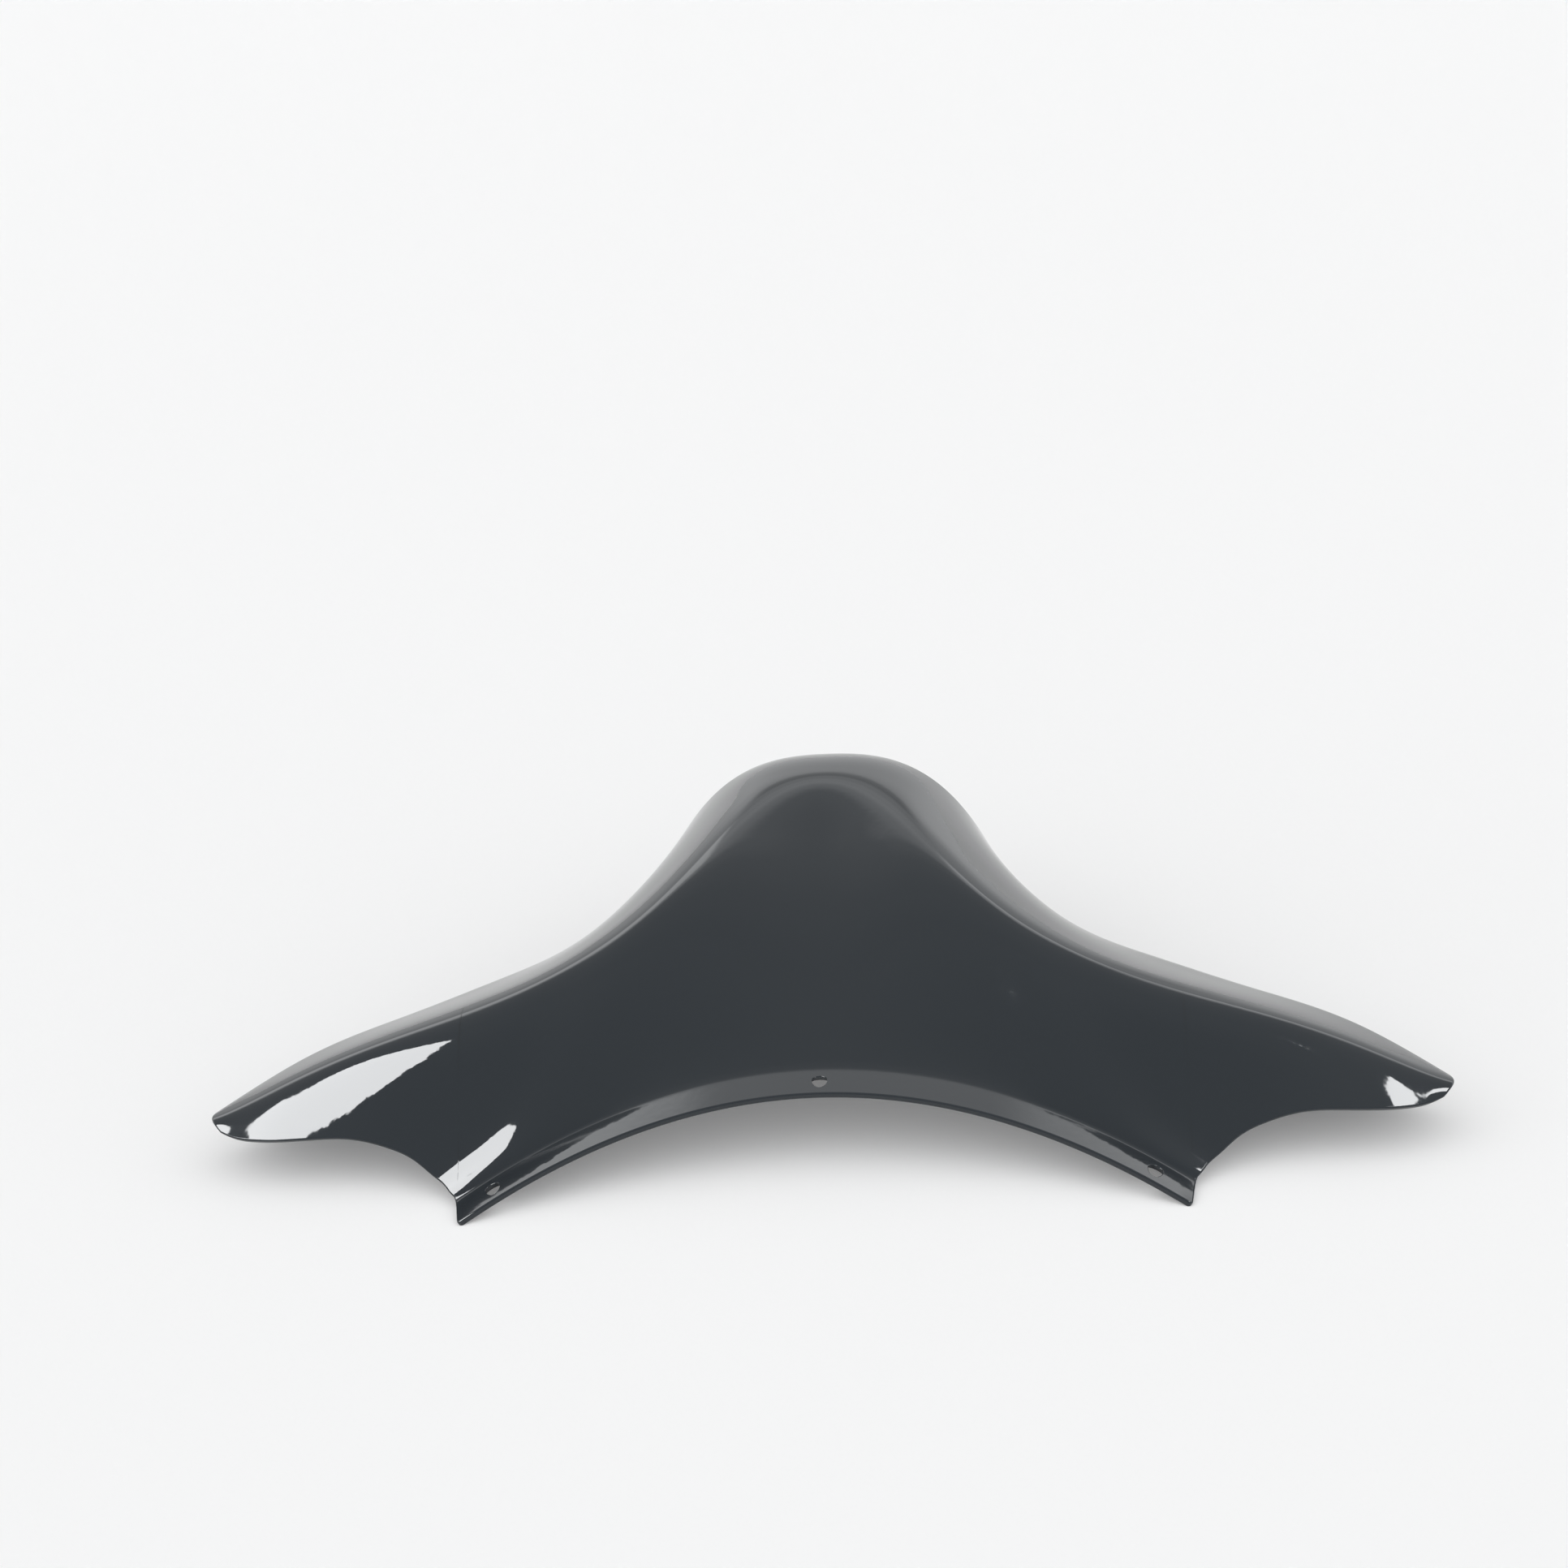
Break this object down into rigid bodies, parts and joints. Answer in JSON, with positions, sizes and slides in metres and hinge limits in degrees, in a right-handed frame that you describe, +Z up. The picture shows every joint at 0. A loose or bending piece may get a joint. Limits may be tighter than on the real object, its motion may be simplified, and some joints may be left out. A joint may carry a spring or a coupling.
{
  "type": "motorcycle fairing",
  "caption": "Gloss black motorcycle front fairing: a domed one-piece shell with swept wings, rolled rear rim, notched sides and a headlamp arch whose flange carries the screw holes.",
  "frame": {"origin": "on the floor, in the middle of the shell's box, with the shell lying face up as in the picture", "axes": "+X across the wings to the right as seen in the picture, +Y from the arch back to the dome, +Z up"},
  "size_m": [0.55, 0.2404, 0.126],
  "materials": {
    "gloss_black": "high gloss black, smooth moulded and lacquered"
  },
  "bodies": {
    "root": {"fairing_shell": "gloss_black"}
  },
  "joints": []
}
